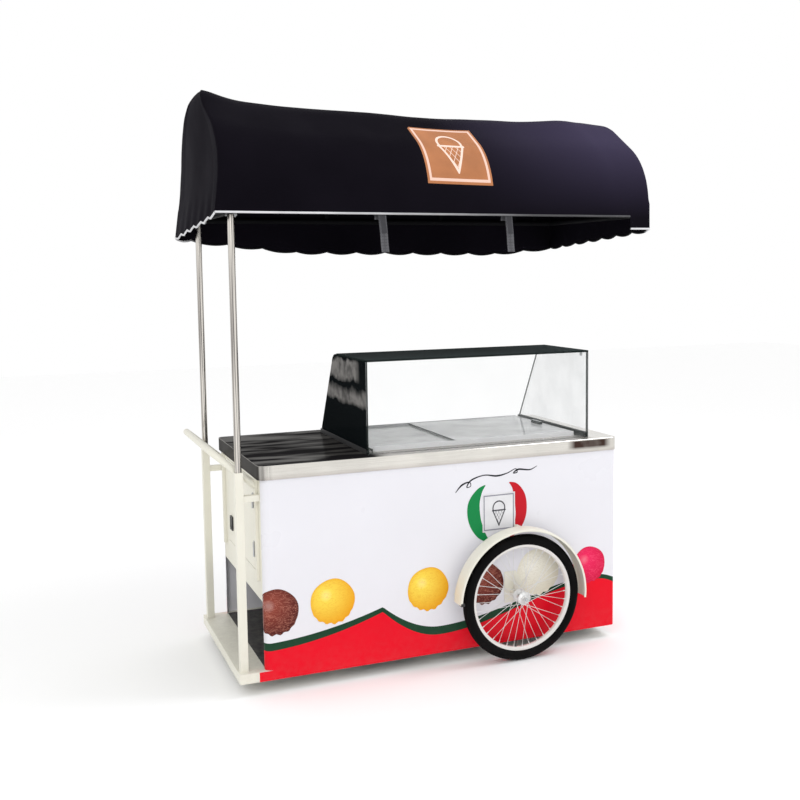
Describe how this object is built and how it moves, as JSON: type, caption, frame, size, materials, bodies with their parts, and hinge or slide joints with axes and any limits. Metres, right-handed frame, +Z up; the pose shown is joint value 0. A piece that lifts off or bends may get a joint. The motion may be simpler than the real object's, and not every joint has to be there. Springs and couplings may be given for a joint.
{
  "type": "ice cream push cart",
  "caption": "Push cart with a freezer well under sliding lids, a glass case, two spoked wheels with fenders, swivel casters, a push handle and a cloth canopy on two posts.",
  "frame": {"origin": "on the floor, under the middle of the whole cart's length and width", "axes": "+Z up; +X along the cart from the pushing end to the wheel end; -Y towards the customer side"},
  "size_m": [1.95, 1.0526, 2.4148],
  "materials": {
    "ivory_paint": "satin powder coat",
    "white_panel": "satin vinyl-wrapped sheet",
    "black_paint": "satin",
    "stainless": "brushed",
    "polished": "polished",
    "zinc": "zinc plated",
    "bare_aluminium": "bare",
    "white_tube": "satin",
    "black_plastic": "matte",
    "white_plastic": "matte",
    "foam": "matte foam",
    "clear_plastic": "clear",
    "clear_glass": "clear, tempered",
    "tyre": "matte rubber",
    "grey_rubber": "matte",
    "black_cloth": "woven, coated",
    "grey_webbing": "woven webbing"
  },
  "bodies": {
    "cart": {"axle": "zinc", "axle_nuts": "polished", "axle_supports": "ivory_paint", "base_frame": "ivory_paint", "bay_floor": "black_paint", "canopy_cover": "black_cloth", "canopy_hoops": "zinc", "canopy_ring": "white_tube", "canopy_straps": "grey_webbing", "caster_bolts": "zinc", "caster_plates": "zinc", "compressor": "black_paint", "condenser": "bare_aluminium", "countertop": "stainless", "fan_bracket": "black_paint", "far_side_panel": "white_panel", "fenders": "ivory_paint", "glass_clips": "zinc", "glass_ends": "clear_glass", "glass_front": "clear_glass", "glass_roof": "clear_glass", "glass_sills": "black_plastic", "handle_bars": "ivory_paint", "inner_frame": "zinc", "left_end_wall": "ivory_paint", "lid_rails": "white_plastic", "near_side_panel": "white_panel", "pan_rack": "stainless", "pans": "stainless", "post_tubes": "stainless", "posts": "ivory_paint", "push_handle": "ivory_paint", "rail_clamps": "zinc", "right_end_panel": "white_panel", "storage_bay": "black_paint", "wall_hinges": "zinc", "well_foam": "foam", "well_liner": "stainless"},
    "near_wheel": {"near_tyre": "tyre", "near_rim": "polished", "near_hub_and_spokes": "polished"},
    "far_wheel": {"far_tyre": "tyre", "far_rim": "polished", "far_hub_and_spokes": "polished"},
    "near_caster_fork": {"near_caster_yoke": "zinc"},
    "far_caster_fork": {"far_caster_yoke": "zinc"},
    "near_caster_roller": {"near_caster_wheel": "grey_rubber"},
    "far_caster_roller": {"far_caster_wheel": "grey_rubber"},
    "door": {"end_door": "ivory_paint", "door_hinges": "zinc", "latch_frame": "black_plastic"},
    "latch": {"latch_paddle": "black_plastic"},
    "left_lid": {"lid_left": "clear_plastic"},
    "right_lid": {"lid_right": "clear_plastic"},
    "fan": {"fan_blades": "white_plastic"}
  },
  "joints": [
    {"name": "near_wheel_spin", "type": "hinge", "parent": "cart", "child": "near_wheel", "pos_m": [0.319, -0.476, 0.2755], "axis": [0, 1, 0], "continuous": true},
    {"name": "far_wheel_spin", "type": "hinge", "parent": "cart", "child": "far_wheel", "pos_m": [0.319, 0.476, 0.2755], "axis": [0, 1, 0], "continuous": true},
    {"name": "near_caster_swivel", "type": "hinge", "parent": "cart", "child": "near_caster_fork", "pos_m": [-0.641, -0.25, 0.08], "axis": [0, 0, 1], "continuous": true},
    {"name": "far_caster_swivel", "type": "hinge", "parent": "cart", "child": "far_caster_fork", "pos_m": [-0.641, 0.25, 0.08], "axis": [0, 0, 1], "continuous": true},
    {"name": "near_caster_spin", "type": "hinge", "parent": "near_caster_fork", "child": "near_caster_roller", "pos_m": [-0.669, -0.25, 0.0375], "axis": [0, 1, 0], "continuous": true},
    {"name": "far_caster_spin", "type": "hinge", "parent": "far_caster_fork", "child": "far_caster_roller", "pos_m": [-0.669, 0.25, 0.0375], "axis": [0, 1, 0], "continuous": true},
    {"name": "door_swing", "type": "hinge", "parent": "cart", "child": "door", "pos_m": [-0.7915, -0.26325, 0.66], "axis": [0, 0, 1], "range_deg": [0, 95]},
    {"name": "latch_pull", "type": "hinge", "parent": "door", "child": "latch", "pos_m": [-0.79, 0.185, 0.587], "axis": [0, 1, 0], "range_deg": [0, 40], "stiffness_Nm_per_rad": 0.1},
    {"name": "left_lid_slide", "type": "slide", "parent": "cart", "child": "left_lid", "axis": [1, 0, 0], "range_m": [0, 0.38]},
    {"name": "right_lid_slide", "type": "slide", "parent": "cart", "child": "right_lid", "axis": [-1, 0, 0], "range_m": [0, 0.38]},
    {"name": "fan_spin", "type": "hinge", "parent": "cart", "child": "fan", "pos_m": [-0.291, 0.09, 0.202], "axis": [0, 1, 0], "continuous": true}
  ]
}
